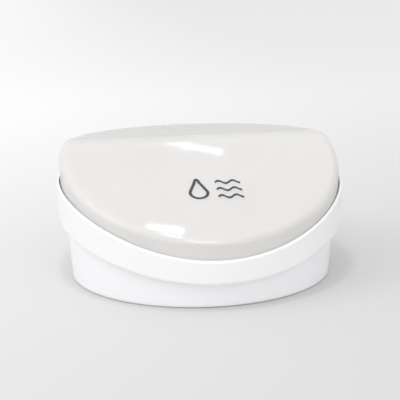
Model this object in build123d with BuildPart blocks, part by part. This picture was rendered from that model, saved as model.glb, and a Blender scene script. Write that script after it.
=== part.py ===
from build123d import *
import os
from math import sqrt

# Microwave steam bottle sterilizer: a water tray, a band that stands on it and carries the
# racks, a lid with a sloping front, and two side clips that hold the lid to the band.
# Millimetres. X is the width, -Y the front, +Z up; the origin is the middle of the underside.

# ---- driving dimensions ----------------------------------------------------------------
rim_width = 277.0            # outside of the band, left to right
rim_depth = 261.0            # outside of the band, front to back
total_height = 130.0

rim_back_height = 99.5       # upper edge of the band, level behind level_start_y
rim_front_height = 45.0      # upper edge of the band at the very front
seam_back_height = 63.0      # joint of band and water tray, level behind level_start_y
seam_front_height = 21.5
level_start_y = 54.0         # both edges sweep down in one arc from here to the front

wall = 2.5                   # band and tray
part_gap = 0.3               # between pieces that lift apart

# water tray
foot_inset = 12.0            # the foot stands this far inside the band's outside
tray_rim_inset = 8.0
foot_height = 3.0
foot_ring_width = 6.0
tray_floor = 2.5
foot_radius = 2.5

# band
lip_outer_radius = 1.6
lip_inner_radius = 0.3
band_lower_radius = 3.5
ledge_inset = 12.0           # inner edge of the ledge that lies on the tray's rim
ledge_thickness = 2.4
shoulder_drop = 9.4          # shoulder that carries the rack, below the upper edge
shoulder_thickness = 2.0
shoulder_reach = 5.0

# bottle rack
rack_floor_lift = 8.5        # underside of the rack above the tray's floor: room for water
rack_floor = 2.2
rack_floor_radius = 4.0
rack_wall = 2.0
rack_floor_inset = 19.0
rack_rim_inset = 13.8
rack_flange_thickness = 2.0
slot_width = 5.0             # steam slots in the rack's floor
slot_length = 30.0
slot_pitch = 13.0
slot_row_pitch = 38.0
slot_margin = 7.0            # floor left between a slot and the rack's wall
peg_height = 68.0
peg_base_radius = 6.0
peg_top_radius = 4.0
fin_reach = 15.0
fin_height = 26.0
fin_thickness = 2.0
side_peg_x = 68.0
side_peg_y = 0.0
back_peg_x = 34.0
back_peg_y = 64.0

# teat rack
teat_front_gap = 12.5        # plate to the rack's wall
teat_angle = 36.0            # between neighbouring teat holes
teat_count = 4
teat_hole_radius = 15.0
teat_plate_border = 6.0
teat_plate_thickness = 2.2
teat_plate_lift = 18.0       # above the rack's floor
teat_collar_height = 6.0
teat_collar_wall = 1.8
teat_leg_radius = 3.0

# lid
lid_wall = 2.2
lid_side_gap = 0.3           # between lid and band
lid_draft = 1.2              # how far the wall leans in over the lid's height
lid_skirt = 5.1              # the wall reaches this far below the band's upper edge
crest_y = 20.0               # the lid is highest here: the front face slopes down from it
slope_front_height = 63.0    # where the sloping face's plane meets the front of the rim
top_back_drop = 4.7          # the top falls this much from the crest to the back
crest_radius = 45.0
lid_edge_radius = 8.0
vent_radius = 2.0
vent_count = 5
vent_pitch = 12.0
vent_back_gap = 46.5         # vents to the back of the rim

# side clips
clip_y = 62.0                # middle of each clip, front to back
clip_width = 30.0
clip_thickness = 2.2
clip_gap = 1.0               # clip to band
pivot_above_seam = 7.0
clip_pivot_out = 3.4         # pivot axis outside the band
pin_radius = 1.25
pin_running_gap = 0.05
barrel_radius = 2.9
barrel_length = 17.4
ear_gap = 0.3
ear_thickness = 3.0
neck_height = 7.0
catch_above_rim = 2.9        # underside of the lid's catch
catch_thickness = 2.6
catch_width = 20.0
catch_reach = 3.0            # how far the catch stands out of the lid's wall
hook_gap = 0.4
hook_thickness = 2.2
hook_clearance = 0.9         # hook tip to lid wall
clip_round = 0.6
grip_rib_count = 4
grip_rib_pitch = 4.0
grip_rib_radius = 0.7
grip_rib_length = 22.0

overshoot = 20.0             # cutting bodies run this far past what they cut
outline_share = 0.98         # an edge this near the lid's oval counts as part of its outline

# ---- levels that follow from them ----------------------------------------------------------
tray_floor_top = foot_height + tray_floor
rack_floor_height = tray_floor_top + rack_floor_lift
rack_floor_top = rack_floor_height + rack_floor
rack_rim_shift = shoulder_thickness - shoulder_drop
clip_pivot_height = seam_back_height + pivot_above_seam
catch_height = rim_back_height + catch_above_rim

os.makedirs("parts", exist_ok=True)


# ---- shared shapes ---------------------------------------------------------------------
def oval_body(low_z, low_inset, high_z, high_inset):
    """Upright oval body; the insets are measured inwards from the band's outside."""
    with BuildPart() as body:
        for z, inset in ((low_z, low_inset), (high_z, high_inset)):
            with BuildSketch(Plane.XY.offset(z)):
                Ellipse(rim_width / 2 - inset, rim_depth / 2 - inset)
        loft()
    return body.part


def space_below(back_height, front_height, shift=0.0):
    """Everything below an edge that is level at the back and sweeps down to the front."""
    far_y = rim_depth / 2 + overshoot
    level = (level_start_y, back_height + shift)
    front = (-rim_depth / 2, front_height + shift)
    with BuildPart() as body:
        with BuildSketch(Plane.YZ):
            with BuildLine():
                Line((far_y, back_height + shift), level)
                sweep_down = TangentArc(level, front, tangent=(-1, 0))
                end = sweep_down @ 1 + (sweep_down % 1) * overshoot
                Line(sweep_down @ 1, end)
                Polyline(end, (end.X, -overshoot), (far_y, -overshoot), (far_y, back_height + shift))
            make_face()
        extrude(amount=rim_width, both=True)
    return body.part


def below_rim(shift=0.0):
    return space_below(rim_back_height, rim_front_height, shift)


def below_seam(shift=0.0):
    return space_below(seam_back_height, seam_front_height, shift)


def lid_inset(z):
    """Inset of the lid's outside at height z."""
    lean = lid_draft * (z - rim_front_height) / (total_height - rim_front_height)
    return wall + lid_side_gap + lean


def lid_envelope(shrink):
    """The lid's outer body, or its hollow when shrunk by the wall."""
    half_depth = rim_depth / 2
    front_rise = (total_height - slope_front_height) / (crest_y + half_depth)
    back_fall = top_back_drop / (half_depth - crest_y)
    front_drop = shrink * sqrt(1 + front_rise**2)
    back_drop = shrink * sqrt(1 + back_fall**2)
    crest_shift = (front_drop - back_drop) / (front_rise + back_fall)
    crest = (crest_y + crest_shift, total_height - back_drop - back_fall * crest_shift)
    reach = half_depth + overshoot
    front = (-reach, crest[1] - front_rise * (crest[0] + reach))
    back = (reach, crest[1] - back_fall * (reach - crest[0]))
    with BuildPart() as profile:
        with BuildSketch(Plane.YZ) as side_view:
            with BuildLine():
                Polyline(back, crest, front, (-reach, -overshoot), (reach, -overshoot), back)
            make_face()
            crest_corner = side_view.vertices().sort_by_distance((0, *crest))[0]
            fillet(crest_corner, crest_radius - shrink)
        extrude(amount=rim_width, both=True)
    with BuildPart() as envelope:
        add(oval_body(0, lid_inset(0) + shrink, total_height, lid_inset(total_height) + shrink))
        add(profile.part, mode=Mode.INTERSECT)
        outline = [edge for edge in envelope.edges() if runs_round_lid(edge)]
        fillet(outline, lid_edge_radius - shrink)
    return envelope.part


def runs_round_lid(edge):
    """True for an edge that runs round the lid where its top meets its side wall."""
    point = edge.position_at(0.5)
    reach_x = point.X / (rim_width / 2 - lid_inset(point.Z) - lid_wall)
    reach_y = point.Y / (rim_depth / 2 - lid_inset(point.Z) - lid_wall)
    return point.Z > rim_front_height and reach_x**2 + reach_y**2 > outline_share


def clip_plane(side):
    """Plane at a clip's middle: x outwards, y along the band, z up, on the band's outside."""
    half_width = rim_width / 2
    half_depth = rim_depth / 2
    x = half_width * sqrt(1 - (clip_y / half_depth) ** 2)
    normal = Vector(x / half_width**2, clip_y / half_depth**2, 0).normalized()
    return Plane(origin=(side * x, clip_y, 0), x_dir=(side * normal.X, normal.Y, 0), z_dir=(0, 0, 1))


def clip_profile_plane(side):
    """The clip's own side view: x outwards, y up, extruded along the band."""
    base = clip_plane(side)
    return Plane(origin=base.origin, x_dir=base.x_dir, z_dir=base.x_dir.cross(Vector(0, 0, 1)))


# ---- water tray ------------------------------------------------------------------------
tray_top_z = seam_back_height + overshoot


def tray_inset(z):
    """Inset of the tray's outside at height z."""
    return foot_inset + (tray_rim_inset - foot_inset) * z / seam_back_height


tray_outside = oval_body(0, tray_inset(0), tray_top_z, tray_inset(tray_top_z))
tray_hollow = oval_body(tray_floor_top, tray_inset(tray_floor_top) + wall,
                        tray_top_z + overshoot, tray_inset(tray_top_z + overshoot) + wall)
foot_recess = oval_body(-overshoot, foot_inset + foot_ring_width,
                        foot_height, foot_inset + foot_ring_width)

with BuildPart() as water_tray:
    add(tray_outside)
    fillet(water_tray.faces().sort_by(Axis.Z)[0].edges(), foot_radius)
    add(tray_hollow, mode=Mode.SUBTRACT)
    fillet(water_tray.edges().filter_by(lambda e: abs(e.center().Z - tray_floor_top) < 0.01),
           wall)
    add(foot_recess, mode=Mode.SUBTRACT)
    add(below_seam(-part_gap), mode=Mode.INTERSECT)
water_tray.part.label = "water_tray"
export_step(water_tray.part, "parts/water_tray.step")


# ---- band ------------------------------------------------------------------------------
def upright_oval(inset):
    """Oval with upright sides, taller than the whole object."""
    return oval_body(-overshoot, inset, total_height + overshoot, inset)


with BuildPart() as band_section:
    add(upright_oval(0))
    add(below_rim(), mode=Mode.INTERSECT)
    add(below_seam(), mode=Mode.SUBTRACT)
    fillet(band_section.edges().sort_by(lambda e: e.center().Z)[0], band_lower_radius)

with BuildPart() as room_above_ledge:
    add(upright_oval(wall))
    add(below_seam(ledge_thickness), mode=Mode.SUBTRACT)

with BuildPart() as shoulder:
    add(upright_oval(wall / 2))
    add(upright_oval(wall + shoulder_reach), mode=Mode.SUBTRACT)
    add(below_rim(shoulder_thickness - shoulder_drop), mode=Mode.INTERSECT)
    add(below_rim(-shoulder_drop), mode=Mode.SUBTRACT)

with BuildPart() as band:
    add(band_section.part)
    add(upright_oval(ledge_inset), mode=Mode.SUBTRACT)
    add(room_above_ledge.part, mode=Mode.SUBTRACT)
    for radius, pick in ((lip_outer_radius, -1), (lip_inner_radius, 0)):
        curved_edges = band.edges().filter_by(GeomType.LINE, reverse=True)
        lip_edges = curved_edges.sort_by(lambda e: e.center().Z)[-2:]
        fillet(lip_edges.sort_by(SortBy.LENGTH)[pick], radius)
    add(shoulder.part)
    ear_offset = barrel_length / 2 + ear_gap + ear_thickness / 2
    for side in (-1, 1):
        pivot = clip_plane(side) * Pos(clip_pivot_out, 0, clip_pivot_height)
        with Locations(pivot * Pos(0, -ear_offset, 0), pivot * Pos(0, ear_offset, 0)):
            Cylinder(barrel_radius, ear_thickness, rotation=(90, 0, 0))
            Box(clip_pivot_out + wall / 2, ear_thickness, 2 * barrel_radius,
                align=(Align.MAX, Align.CENTER, Align.CENTER))
        with Locations(pivot):
            Cylinder(pin_radius, 2 * ear_offset + ear_thickness, rotation=(90, 0, 0),
                     mode=Mode.SUBTRACT)
band.part.label = "band"
export_step(band.part, "parts/band.step")


# ---- bottle rack -----------------------------------------------------------------------
peg_places = [(side * x, y) for side in (-1, 1)
              for x, y in ((side_peg_x, side_peg_y), (back_peg_x, back_peg_y))]


def rack_inset(z):
    """Inset of the rack's outside at height z."""
    rise = (z - rack_floor_height) / (rim_back_height - rack_floor_height)
    return rack_floor_inset + (rack_rim_inset - rack_floor_inset) * rise


def slot_fits(x, y):
    """True where a slot stays inside the rack's floor and clear of the pegs' fins."""
    end_x = abs(x) + slot_width / 2
    end_y = abs(y) + slot_length / 2
    room_x = rim_width / 2 - rack_floor_inset - rack_wall - slot_margin
    room_y = rim_depth / 2 - rack_floor_inset - rack_wall - slot_margin
    if (end_x / room_x) ** 2 + (end_y / room_y) ** 2 > 1:
        return False
    for peg_x, peg_y in peg_places:
        away_x = abs(x - peg_x) - slot_width / 2
        away_y = abs(y - peg_y) - slot_length / 2
        meets_fin_along_y = away_x < fin_thickness and away_y < fin_reach
        meets_fin_along_x = away_x < fin_reach and away_y < fin_thickness
        if meets_fin_along_y or meets_fin_along_x:
            return False
    return True


rack_outside = oval_body(rack_floor_height, rack_inset(rack_floor_height),
                         total_height, rack_inset(total_height))
rack_hollow_top = total_height + overshoot
rack_hollow = oval_body(rack_floor_top, rack_inset(rack_floor_top) + rack_wall,
                        rack_hollow_top, rack_inset(rack_hollow_top) + rack_wall)

slot_columns = int(rim_width / 2 / slot_pitch)
slot_rows = int(rim_depth / 2 / slot_row_pitch)
slot_places = [(column * slot_pitch, row * slot_row_pitch)
               for column in range(-slot_columns, slot_columns + 1)
               for row in range(-slot_rows, slot_rows + 1)
               if slot_fits(column * slot_pitch, row * slot_row_pitch)]

with BuildPart() as rack_flange:
    add(upright_oval(wall + lid_side_gap))
    add(below_rim(rack_rim_shift + rack_flange_thickness), mode=Mode.INTERSECT)
    add(below_rim(rack_rim_shift), mode=Mode.SUBTRACT)
    add(rack_hollow, mode=Mode.SUBTRACT)

with BuildPart() as bottle_rack:
    add(rack_outside)
    fillet(bottle_rack.faces().sort_by(Axis.Z)[0].edges(), rack_floor_radius)
    add(below_rim(rack_rim_shift + rack_flange_thickness), mode=Mode.INTERSECT)
    add(rack_hollow, mode=Mode.SUBTRACT)
    add(rack_flange.part)
    with Locations(*[(x, y, rack_floor_top) for x, y in peg_places]):
        Cone(peg_base_radius, peg_top_radius, peg_height,
             align=(Align.CENTER, Align.CENTER, Align.MIN))
        Box(2 * fin_reach, fin_thickness, fin_height,
            align=(Align.CENTER, Align.CENTER, Align.MIN))
        Box(fin_thickness, 2 * fin_reach, fin_height,
            align=(Align.CENTER, Align.CENTER, Align.MIN))
    with BuildSketch(Plane.XY.offset(rack_floor_height)):
        with Locations(*slot_places):
            SlotOverall(slot_length, slot_width, rotation=90)
    extrude(amount=2 * rack_floor, both=True, mode=Mode.SUBTRACT)
bottle_rack.part.label = "bottle_rack"
export_step(bottle_rack.part, "parts/bottle_rack.step")


# ---- teat rack -------------------------------------------------------------------------
teat_plate_z = rack_floor_top + teat_plate_lift
rack_front_y = rim_depth / 2 - rack_floor_inset - rack_wall
teat_circle_radius = rack_front_y - teat_front_gap - teat_plate_border - teat_hole_radius


def on_teat_circle(count):
    """Places on the teat circle, a teat_angle apart and centred on the front."""
    span = teat_angle * (count - 1)
    return PolarLocations(teat_circle_radius, count, start_angle=-90 - span / 2,
                          angular_range=span, endpoint=True)


teat_places = on_teat_circle(teat_count)
between_teats = on_teat_circle(teat_count - 1)

with BuildPart() as teat_rack:
    with BuildSketch(Plane.XY.offset(teat_plate_z)):
        with teat_places:
            Circle(teat_hole_radius + teat_plate_border)
        with between_teats:
            Circle(teat_hole_radius)
    extrude(amount=teat_plate_thickness)
    with BuildSketch(Plane.XY.offset(teat_plate_z)):
        with teat_places:
            Circle(teat_hole_radius + teat_collar_wall)
    extrude(amount=teat_plate_thickness + teat_collar_height)
    with BuildSketch(Plane.XY.offset(teat_plate_z)):
        with teat_places:
            Circle(teat_hole_radius)
    extrude(amount=teat_plate_thickness + teat_collar_height, mode=Mode.SUBTRACT)
    with BuildSketch(Plane.XY.offset(rack_floor_top)):
        with between_teats:
            Circle(teat_leg_radius)
    extrude(amount=teat_plate_lift)
teat_rack.part.label = "teat_rack"
export_step(teat_rack.part, "parts/teat_rack.step")


# ---- lid -------------------------------------------------------------------------------
lid_outside = lid_envelope(0)
lid_hollow = lid_envelope(lid_wall)

with BuildPart() as lid:
    add(lid_outside)
    add(lid_hollow, mode=Mode.SUBTRACT)
    add(below_rim(-lid_skirt), mode=Mode.SUBTRACT)
    with BuildSketch(Plane.XY.offset(total_height)):
        with Locations((0, rim_depth / 2 - vent_back_gap)):
            with GridLocations(vent_pitch, 0, vent_count, 1):
                Circle(vent_radius)
    extrude(amount=-2 * lid_wall, mode=Mode.SUBTRACT)
    catch_root = -lid_inset(catch_height) - lid_wall / 2
    for side in (-1, 1):
        with Locations(clip_plane(side) * Pos(catch_root, 0, catch_height)):
            Box(lid_wall / 2 + catch_reach, catch_width, catch_thickness,
                align=(Align.MIN, Align.CENTER, Align.MIN))
lid.part.label = "lid"
export_step(lid.part, "parts/lid.step")


# ---- side clips ------------------------------------------------------------------------
hook_z = catch_height + catch_thickness + hook_gap
hook_tip = -lid_inset(hook_z) + hook_clearance
clip_outside = clip_gap + clip_thickness


def make_clip(side, name):
    """One clip: barrel, neck, plate with grip ribs, and a hook over the lid's catch."""
    profile_plane = clip_profile_plane(side)
    neck_top = clip_pivot_height + neck_height
    clip_top = hook_z + hook_thickness
    with BuildPart() as clip:
        with BuildSketch(profile_plane):
            with BuildLine():
                Polyline((clip_gap, neck_top), (clip_gap, hook_z), (hook_tip, hook_z),
                         (hook_tip, clip_top), (clip_outside, clip_top),
                         (clip_outside, neck_top), (clip_gap, neck_top))
            make_face()
        extrude(amount=clip_width / 2, both=True)
        fillet(clip.edges(), clip_round)
        with BuildSketch(profile_plane):
            with Locations((clip_outside, (neck_top + clip_top) / 2)):
                with GridLocations(0, grip_rib_pitch, 1, grip_rib_count):
                    Circle(grip_rib_radius)
        extrude(amount=grip_rib_length / 2, both=True)
        with BuildSketch(profile_plane):
            with Locations((clip_pivot_out, clip_pivot_height)):
                Circle(barrel_radius)
            with Locations(((clip_gap + clip_outside) / 2, clip_pivot_height + neck_height / 2)):
                Rectangle(clip_thickness, neck_height + 2 * clip_round)
        extrude(amount=barrel_length / 2, both=True)
        with BuildSketch(profile_plane):
            with Locations((clip_pivot_out, clip_pivot_height)):
                Circle(pin_radius + pin_running_gap)
        extrude(amount=barrel_length, both=True, mode=Mode.SUBTRACT)
    clip.part.label = name
    export_step(clip.part, f"parts/{name}.step")


def make_pin(side, name):
    """Pivot pin, a press fit in the band's ears."""
    length = barrel_length + 2 * (ear_gap + ear_thickness)
    with BuildPart() as pin:
        with BuildSketch(clip_profile_plane(side)):
            with Locations((clip_pivot_out, clip_pivot_height)):
                Circle(pin_radius)
        extrude(amount=length / 2, both=True)
    pin.part.label = name
    export_step(pin.part, f"parts/{name}.step")


for side, word in ((-1, "left"), (1, "right")):
    make_clip(side, f"clip_{word}")
    make_pin(side, f"clip_pin_{word}")
    axis = clip_plane(side)
    point = axis.origin + axis.x_dir * clip_pivot_out
    print(f"clip_{word} pivot: {point.X:.4f}, {point.Y:.4f}, {clip_pivot_height:.4f}"
          f"  axis {axis.y_dir.X:.5f}, {axis.y_dir.Y:.5f}, 0")
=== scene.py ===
import math
import bpy
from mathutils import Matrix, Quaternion, Vector


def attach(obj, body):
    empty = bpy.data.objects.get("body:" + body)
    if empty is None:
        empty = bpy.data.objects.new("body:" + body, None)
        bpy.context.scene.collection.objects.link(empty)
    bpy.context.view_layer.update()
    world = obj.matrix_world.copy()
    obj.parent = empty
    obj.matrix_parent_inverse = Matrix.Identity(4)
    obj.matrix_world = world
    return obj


# Bottle sterilizer for a microwave: white tray and band, milky lid with a sloping face.
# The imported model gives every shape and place; this file adds plastics, print and studio.

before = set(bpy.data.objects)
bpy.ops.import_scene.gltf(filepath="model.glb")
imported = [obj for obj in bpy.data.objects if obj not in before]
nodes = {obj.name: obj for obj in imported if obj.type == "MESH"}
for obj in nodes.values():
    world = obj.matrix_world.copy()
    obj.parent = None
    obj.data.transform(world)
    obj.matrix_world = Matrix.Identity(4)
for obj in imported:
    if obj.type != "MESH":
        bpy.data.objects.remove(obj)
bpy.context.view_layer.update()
print("stage: frame loaded,", len(nodes), "nodes")


# sRGB hex, such as "f2efe9", to the linear colour that shaders take
def hexToLinear(code):
    parts = [int(code[i:i + 2], 16) / 255 for i in (0, 2, 4)]
    linear = [c / 12.92 if c <= 0.04045 else ((c + 0.055) / 1.055) ** 2.4 for c in parts]
    return linear + [1.0]


# one node with its options, values and links; a link is input: (node, output)
def addNode(tree, kind, options=None, values=None, links=None):
    node = tree.nodes.new(kind)
    for name, value in (options or {}).items():
        setattr(node, name, value)
    for name, value in (values or {}).items():
        node.inputs[name].default_value = value
    for name, (source, output) in (links or {}).items():
        tree.links.new(source.outputs[output], node.inputs[name])
    return node


def newMaterial(name):
    material = bpy.data.materials.new(name)
    material.use_nodes = True
    material.node_tree.nodes.clear()
    return material, material.node_tree


def paint(nodeNames, material):
    for name in nodeNames:
        slots = nodes[name].data.materials
        slots.clear()
        slots.append(material)


def deselectAll():
    if bpy.context.object and bpy.context.object.mode != "OBJECT":
        bpy.ops.object.mode_set(mode="OBJECT")
    bpy.ops.object.select_all(action="DESELECT")


# Injection-moulded polypropylene, filled white. Light sinks a millimetre into it, so edges
# look soft; the mould leaves a fine orange peel and slow sink waves that bend highlights.
mouldedWhite = {
    "peelSize": 0.0011,       # metres between bumps of the orange peel
    "peelDepth": 0.000012,
    "waveSize": 0.035,        # sink waves of the cooling wall
    "waveDepth": 0.00012,
    "smudgeSize": 0.018,      # handling marks, seen only as a change of gloss
    "smudgeRange": (0.3, 0.7),
    "toneScale": 11.0,        # patches of slightly different white to a metre
    "toneRange": (0.35, 0.7),
    "ior": 1.49,
    "softness": 0.15,
    "scatterDepth": 0.0012,
}

trayFinish = {"colour": "f1f1f3", "shade": "efeff1", "glossiest": 0.30, "dullest": 0.42}
bandFinish = {"colour": "efefef", "shade": "ededed", "glossiest": 0.16, "dullest": 0.26}
rackFinish = {"colour": "f1f1f1", "shade": "eeeeee", "glossiest": 0.42, "dullest": 0.55}
clipFinish = {"colour": "f5f5f5", "shade": "f3f3f3", "glossiest": 0.24, "dullest": 0.34}


def surfaceRelief(tree, coords, sizes):
    peel = addNode(tree, "ShaderNodeTexNoise", values={
        "Scale": 1 / sizes["peelSize"], "Detail": 2.0, "Roughness": 0.45},
        links={"Vector": (coords, "Object")})
    wave = addNode(tree, "ShaderNodeTexNoise", values={
        "Scale": 1 / sizes["waveSize"], "Detail": 1.0, "Roughness": 0.4},
        links={"Vector": (coords, "Object")})
    waves = addNode(tree, "ShaderNodeBump", values={
        "Strength": 1.0, "Distance": sizes["waveDepth"]}, links={"Height": (wave, "Fac")})
    return addNode(tree, "ShaderNodeBump", values={
        "Strength": 1.0, "Distance": sizes["peelDepth"]},
        links={"Height": (peel, "Fac"), "Normal": (waves, "Normal")})


# two close colours that blend over the noise, at the given places of its range
def blendColours(tree, noise, first, second, places):
    blend = addNode(tree, "ShaderNodeValToRGB", links={"Fac": (noise, "Fac")})
    for stop, colour, place in zip(blend.color_ramp.elements, (first, second), places):
        stop.color = hexToLinear(colour)
        stop.position = place
    return blend


def whitePolypropylene(name, finish):
    material, tree = newMaterial(name)
    coords = addNode(tree, "ShaderNodeTexCoord")
    relief = surfaceRelief(tree, coords, mouldedWhite)
    tone = addNode(tree, "ShaderNodeTexNoise", values={
        "Scale": mouldedWhite["toneScale"], "Detail": 2.0},
        links={"Vector": (coords, "Object")})
    blend = blendColours(tree, tone, finish["colour"], finish["shade"], mouldedWhite["toneRange"])
    smudge = addNode(tree, "ShaderNodeTexNoise", values={
        "Scale": 1 / mouldedWhite["smudgeSize"], "Detail": 4.0, "Roughness": 0.6},
        links={"Vector": (coords, "Object")})
    gloss = addNode(tree, "ShaderNodeMapRange", values={
        "From Min": mouldedWhite["smudgeRange"][0], "From Max": mouldedWhite["smudgeRange"][1],
        "To Min": finish["glossiest"], "To Max": finish["dullest"]},
        links={"Value": (smudge, "Fac")})
    shader = addNode(tree, "ShaderNodeBsdfPrincipled", values={
        "IOR": mouldedWhite["ior"], "Subsurface Weight": mouldedWhite["softness"],
        "Subsurface Radius": (1.0, 0.95, 0.9), "Subsurface Scale": mouldedWhite["scatterDepth"]},
        links={"Base Color": (blend, "Color"), "Roughness": (gloss, "Result"),
               "Normal": (relief, "Normal")})
    addNode(tree, "ShaderNodeOutputMaterial", links={"Surface": (shader, "BSDF")})
    return material


# Unfilled ("natural") polypropylene, moulded glossy outside: milky, so the lid's thin
# wall all but hides what is inside, while its skin gives sharp lamp reflections.
milkyLid = {
    "skin": "edebe9", "depth": "e9e7e5",
    "ior": 1.49,
    "cover": 0.72,            # how much of what is behind one skin of the wall is hidden
    "skinRoughness": 0.025, "bodyRoughness": 0.55,
    "bodySheen": 0.2, "softness": 0.6, "scatterDepth": 0.004,
    "flowSize": 0.07,         # cloudy flow of the melt
    "flowRange": (0.3, 0.75),
    "peelSize": 0.0016, "peelDepth": 0.000008, "waveSize": 0.03, "waveDepth": 0.00006,
}


def milkyPolypropylene(name):
    material, tree = newMaterial(name)
    coords = addNode(tree, "ShaderNodeTexCoord")
    relief = surfaceRelief(tree, coords, milkyLid)
    flow = addNode(tree, "ShaderNodeTexNoise", values={
        "Scale": 1 / milkyLid["flowSize"], "Detail": 3.0, "Roughness": 0.55},
        links={"Vector": (coords, "Object")})
    blend = blendColours(tree, flow, milkyLid["skin"], milkyLid["depth"], milkyLid["flowRange"])
    shader = addNode(tree, "ShaderNodeBsdfPrincipled", values={
        "IOR": milkyLid["ior"], "Roughness": milkyLid["bodyRoughness"], "Alpha": milkyLid["cover"],
        "Subsurface Weight": milkyLid["softness"], "Subsurface Radius": (1.0, 0.96, 0.9),
        "Subsurface Scale": milkyLid["scatterDepth"], "Specular IOR Level": milkyLid["bodySheen"],
        "Coat Weight": 1.0, "Coat Roughness": milkyLid["skinRoughness"], "Coat IOR": milkyLid["ior"]},
        links={"Base Color": (blend, "Color"), "Normal": (relief, "Normal"),
               "Coat Normal": (relief, "Normal")})
    addNode(tree, "ShaderNodeOutputMaterial", links={"Surface": (shader, "BSDF")})
    return material


paint(["water_tray"], whitePolypropylene("moulded_polypropylene_tray", trayFinish))
paint(["band"], whitePolypropylene("moulded_polypropylene_band", bandFinish))
paint(["bottle_rack", "teat_rack"], whitePolypropylene("moulded_polypropylene_rack", rackFinish))
paint(["clip_left", "clip_right", "clip_pin_left", "clip_pin_right"],
      whitePolypropylene("moulded_polypropylene_clip", clipFinish))
paint(["lid"], milkyPolypropylene("natural_polypropylene_lid"))
print("stage: plastics done")


# Pad-printed grey ink: a plain drop and three waves, for water and steam, on the sloping face.
printedMark = {
    "ink": "3b3b3e", "inkRoughness": (0.29, 0.41), "inkGrain": 900.0,
    "centre": (0.005, -0.061),    # on the sloping face, seen from above
    "film": 0.00006, "sunk": 0.00002,
    "dropCentre": (-0.0155, -0.004), "dropRadius": 0.0095, "dropTip": 0.0125, "dropLine": 0.0028,
    "dropPoints": 64,
    "dropRows": (0.30, 0.60, 0.85, 0.97),         # shares of the radius where it is drawn up
    "dropNarrowing": 0.80,                        # width kept at each row
    "waveLeft": 0.0015, "waveLength": 0.0235, "waveRows": (-0.011, 0.0, 0.011),
    "waveSwing": 0.0021, "waveLine": 0.0031, "waveSteps": 36, "waveTurns": 1.75,
}


def selectVertices(mesh, wanted):
    bpy.ops.object.mode_set(mode="OBJECT")
    for vertex in mesh.vertices:
        vertex.select = wanted(vertex.co)
    for edge in mesh.edges:
        edge.select = all(mesh.vertices[i].select for i in edge.vertices)
    for face in mesh.polygons:
        face.select = all(mesh.vertices[i].select for i in face.vertices)
    bpy.ops.object.mode_set(mode="EDIT")


# a round disc whose top is drawn up to a point, with its middle taken out
def makeDrop():
    deselectAll()
    radius = printedMark["dropRadius"]
    x, y = printedMark["dropCentre"]
    bpy.ops.mesh.primitive_circle_add(
        vertices=printedMark["dropPoints"], radius=radius, fill_type="NGON", location=(x, y, 0))
    drop = bpy.context.object
    bpy.ops.object.transform_apply(location=True)
    rise = printedMark["dropTip"] / len(printedMark["dropRows"])
    for share in printedMark["dropRows"]:       # the nearer the top, the further it is drawn up
        selectVertices(drop.data, lambda co: co.y - y > radius * share)
        bpy.ops.transform.resize(value=(printedMark["dropNarrowing"], 1, 1), center_override=(x, y, 0))
        bpy.ops.transform.translate(value=(0, rise, 0))
    bpy.ops.mesh.select_all(action="SELECT")
    bpy.ops.mesh.inset(thickness=printedMark["dropLine"])
    bpy.ops.mesh.delete(type="FACE")
    bpy.ops.object.mode_set(mode="OBJECT")
    return drop


# a straight strip, bent to a wave by moving one column of points after another
def makeWave(height):
    deselectAll()
    steps = printedMark["waveSteps"]
    bpy.ops.mesh.primitive_grid_add(x_subdivisions=steps, y_subdivisions=1, size=1, location=(0, 0, 0))
    wave = bpy.context.object
    wave.scale = (printedMark["waveLength"], printedMark["waveLine"], 1)
    wave.location = (printedMark["waveLeft"] + printedMark["waveLength"] / 2, height, 0)
    bpy.ops.object.transform_apply(location=True, scale=True)
    spacing = printedMark["waveLength"] / steps
    for step in range(steps + 1):
        x = printedMark["waveLeft"] + spacing * step
        phase = 2 * math.pi * printedMark["waveTurns"] * step / steps
        selectVertices(wave.data, lambda co: abs(co.x - x) < spacing / 2)
        bpy.ops.transform.translate(value=(0, printedMark["waveSwing"] * math.sin(phase), 0))
    bpy.ops.object.mode_set(mode="OBJECT")
    return wave


def makeMark():
    pieces = [makeDrop()] + [makeWave(height) for height in printedMark["waveRows"]]
    deselectAll()
    for piece in pieces:
        piece.select_set(True)
    bpy.context.view_layer.objects.active = pieces[0]
    bpy.ops.object.join()
    mark = bpy.context.object
    mark.name = "printed_mark"
    film = mark.modifiers.new("film", "SOLIDIFY")
    film.thickness = printedMark["film"]
    film.offset = 1
    bpy.ops.object.modifier_apply(modifier="film")
    x, y = printedMark["centre"]
    point, normal = nodes["lid"].ray_cast((x, y, 1), (0, 0, -1))[1:3]
    mark.rotation_mode = "QUATERNION"
    mark.rotation_quaternion = Vector((0, 0, 1)).rotation_difference(normal)
    mark.location = point - normal * printedMark["sunk"]
    bpy.ops.object.transform_apply(location=True, rotation=True)
    material, tree = newMaterial("pad_printed_grey_ink")
    coords = addNode(tree, "ShaderNodeTexCoord")
    grain = addNode(tree, "ShaderNodeTexNoise", values={
        "Scale": printedMark["inkGrain"], "Detail": 2.0},
        links={"Vector": (coords, "Object")})
    tone = addNode(tree, "ShaderNodeMapRange", values={
        "To Min": printedMark["inkRoughness"][0], "To Max": printedMark["inkRoughness"][1]},
        links={"Value": (grain, "Fac")})
    shader = addNode(tree, "ShaderNodeBsdfPrincipled", values={
        "Base Color": hexToLinear(printedMark["ink"])}, links={"Roughness": (tone, "Result")})
    addNode(tree, "ShaderNodeOutputMaterial", links={"Surface": (shader, "BSDF")})
    mark.data.materials.append(material)
    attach(mark, "lid")


makeMark()
print("stage: printed mark done")


# The camera looks a little above the origin; angles are in degrees, the lens in millimetres.
viewpoint = {
    "azimuth": -8.54, "elevation": 17.5, "distance": 1.021, "lens": 91.9,
    "lookUp": 3.80, "roll": 0.89,
}

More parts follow.
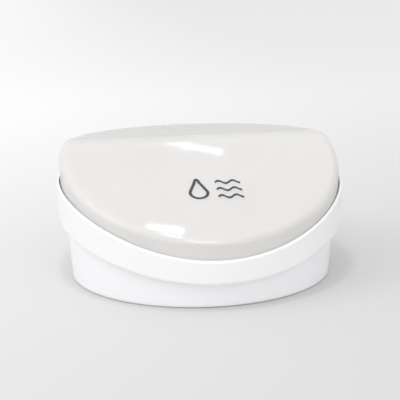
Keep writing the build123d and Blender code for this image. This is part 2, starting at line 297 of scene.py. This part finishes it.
# How much light the floor returns, from front to back and from left to right: painted light, lighter
# towards the back as if lit from behind, and painted shade, darker towards the right as if the light
# fell off away from the left.
floorPaintedLight = {
    "half": 14.0, "drop": 0.0002,
    "front": 0.680, "back": 0.990, "frontY": -0.50, "backY": 1.35,
    "leftPaintedLight": 1.01, "rightPaintedShade": 0.86, "paintedFalloffHalf": 0.7,
    "roughness": 0.7, "sheen": 0.03,
}

studioAir = {
    "colour": "fefefe", "strength": 1.0, "swing": 0.26,
    "brightFrom": (-0.5, -0.8, -0.10),
}

# Power is in watts. A lamp marked reflectionOnly shows in glossy skins but adds no diffuse light.
lamps = {
    "left_softbox": {
        "place": (-1.35, -0.35, 1.2), "target": (0, 0, 0.05),
        "width": 1.0, "height": 1.0, "power": 4.6, "reflectionOnly": False},
    "front_fill": {
        "place": (0.40, -1.80, 0.35), "target": (0, 0, 0.05),
        "width": 1.4, "height": 0.6, "power": 2.2, "reflectionOnly": False},
    "window_high": {
        "place": (-0.13, -0.30, 1.35), "target": (-0.03, -0.11, 0.07),
        "width": 0.16, "height": 0.25, "power": 2.4, "reflectionOnly": False},
    "window_low": {               # along the rounded lower edge of the lid
        "place": (-0.02, -1.085, 0.79), "target": (0, -0.125, 0.064),
        "width": 0.34, "height": 0.50, "power": 4.3, "reflectionOnly": True},
    "window_slope": {             # low on the sloping face
        "place": (0.13, 0.61, 1.53), "target": (-0.05, -0.11, 0.07),
        "width": 0.095, "height": 0.035, "power": 0.085, "reflectionOnly": True},
    "tube_behind": {              # the streak near the top of the sloping face
        "place": (0.2235, 0.857, 1.53), "target": (-0.008, 0.004, 0.122),
        "width": 0.165, "height": 0.008, "power": 0.0415, "reflectionOnly": True},
}


def addCamera():
    turn = math.radians(viewpoint["azimuth"])
    rise = math.radians(viewpoint["elevation"])
    back = Vector((math.sin(turn) * math.cos(rise), -math.cos(turn) * math.cos(rise), math.sin(rise)))
    camera = bpy.data.objects.new("camera", bpy.data.cameras.new("camera"))
    bpy.context.scene.collection.objects.link(camera)
    camera.data.lens = viewpoint["lens"]
    camera.location = back * viewpoint["distance"]
    camera.rotation_mode = "QUATERNION"
    tilt = Quaternion((1, 0, 0), math.radians(viewpoint["lookUp"]))
    roll = Quaternion((0, 0, 1), -math.radians(viewpoint["roll"]))
    camera.rotation_quaternion = (-back).to_track_quat("-Z", "Y") @ tilt @ roll
    bpy.context.scene.camera = camera


def addLamp(name, lamp):
    data = bpy.data.lights.new(name, "AREA")
    data.shape = "RECTANGLE"
    data.size = lamp["width"]
    data.size_y = lamp["height"]
    data.energy = lamp["power"]
    light = bpy.data.objects.new(name, data)
    light.visible_diffuse = not lamp["reflectionOnly"]
    bpy.context.scene.collection.objects.link(light)
    light.location = lamp["place"]
    light.rotation_mode = "QUATERNION"
    light.rotation_quaternion = (Vector(lamp["target"]) - Vector(lamp["place"])).to_track_quat("-Z", "Y")


# a floor with painted light: lighter towards the back and a little darker towards its right, as if lit
# from behind and from the left
def addFloor():
    deselectAll()
    bpy.ops.mesh.primitive_plane_add(
        size=2 * floorPaintedLight["half"], location=(0, 0, -floorPaintedLight["drop"]))
    floor = bpy.context.object
    floor.name = "floor"
    bpy.ops.object.transform_apply(location=True)
    material, tree = newMaterial("floor_painted_light_falloff")
    coords = addNode(tree, "ShaderNodeTexCoord")
    split = addNode(tree, "ShaderNodeSeparateXYZ", links={"Vector": (coords, "Object")})
    # painted light: the floor colour lightens from front to back
    spread = addNode(tree, "ShaderNodeMapRange", {"interpolation_type": "SMOOTHSTEP"}, {
        "From Min": floorPaintedLight["frontY"], "From Max": floorPaintedLight["backY"],
        "To Min": floorPaintedLight["front"], "To Max": floorPaintedLight["back"]}, {"Value": (split, "Y")})
    # painted shade: the floor colour darkens from left to right
    fall = addNode(tree, "ShaderNodeMapRange", {"interpolation_type": "SMOOTHSTEP"}, {
        "From Min": -floorPaintedLight["paintedFalloffHalf"], "From Max": floorPaintedLight["paintedFalloffHalf"],
        "To Min": floorPaintedLight["leftPaintedLight"], "To Max": floorPaintedLight["rightPaintedShade"]},
        {"Value": (split, "X")})
    level = addNode(tree, "ShaderNodeMath", {"operation": "MULTIPLY"})
    tree.links.new(spread.outputs["Result"], level.inputs[0])
    tree.links.new(fall.outputs["Result"], level.inputs[1])
    grey = addNode(tree, "ShaderNodeCombineColor", links={
        "Red": (level, "Value"), "Green": (level, "Value"), "Blue": (level, "Value")})
    shader = addNode(tree, "ShaderNodeBsdfPrincipled", values={
        "Roughness": floorPaintedLight["roughness"], "Specular IOR Level": floorPaintedLight["sheen"]},
        links={"Base Color": (grey, "Color")})
    addNode(tree, "ShaderNodeOutputMaterial", links={"Surface": (shader, "BSDF")})
    floor.data.materials.append(material)


# white light from all round, strongest from the front left
def addAir():
    world = bpy.data.worlds.new("studio_air")
    bpy.context.scene.world = world
    world.use_nodes = True
    tree = world.node_tree
    tree.nodes.clear()
    coords = addNode(tree, "ShaderNodeTexCoord")
    facing = addNode(tree, "ShaderNodeVectorMath", {"operation": "DOT_PRODUCT"},
                     links={"Vector": (coords, "Generated")})
    facing.inputs[1].default_value = studioAir["brightFrom"]
    fall = addNode(tree, "ShaderNodeMapRange", values={
        "From Min": -1.0, "From Max": 1.0,
        "To Min": studioAir["strength"] - studioAir["swing"],
        "To Max": studioAir["strength"] + studioAir["swing"]}, links={"Value": (facing, "Value")})
    air = addNode(tree, "ShaderNodeBackground", values={"Color": hexToLinear(studioAir["colour"])},
                  links={"Strength": (fall, "Result")})
    addNode(tree, "ShaderNodeOutputWorld", links={"Surface": (air, "Background")})


addCamera()
addFloor()
addAir()
for name, lamp in lamps.items():
    addLamp(name, lamp)
bpy.context.scene.view_settings.view_transform = "Standard"
print("stage: studio done")
